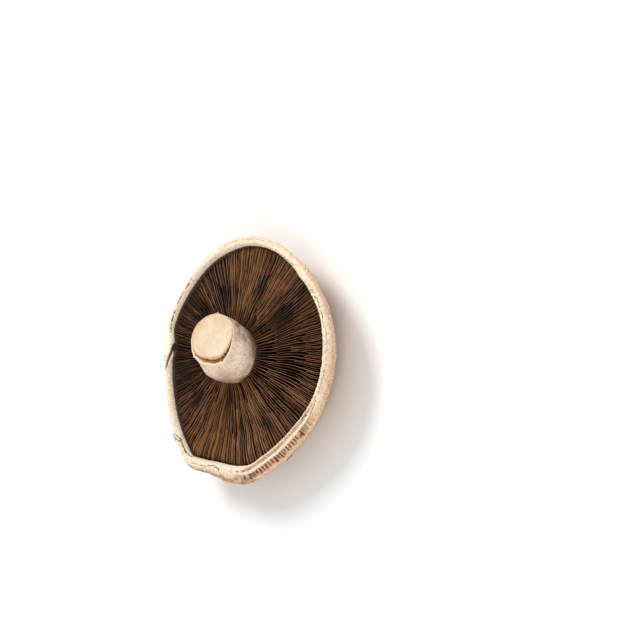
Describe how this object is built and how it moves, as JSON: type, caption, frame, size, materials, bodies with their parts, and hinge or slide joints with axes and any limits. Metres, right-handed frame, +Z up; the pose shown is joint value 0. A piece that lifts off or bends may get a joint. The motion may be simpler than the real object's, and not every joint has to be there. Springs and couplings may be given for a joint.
{
  "type": "portobello mushroom",
  "caption": "Large open brown mushroom as picked, lying cap down: domed scaly cap with a rolled rim, dark radial gills and a short leaning stem with a cut end.",
  "frame": {"origin": "centre of the bounding box, at the height of the surface that the cap's crown rests on", "axes": "+Z up, from the cap's crown towards the gills and the cut end of the stem, which leans towards +X; the stem's slanted cut faces -Y"},
  "size_m": [0.1192, 0.1192, 0.043],
  "materials": {
    "cap_skin": "dry matt skin, tan to golden brown, with pale cracks, raised fibrous scales and a cream rim",
    "gill_tissue": "thin matt dark brown blades with slightly paler edges",
    "stem_flesh": "smooth cream flesh, paler and slightly moist on the cut, with faint lengthwise fibres"
  },
  "bodies": {
    "root": {"cap": "cap_skin", "gills": "gill_tissue", "stem": "stem_flesh"}
  },
  "joints": []
}
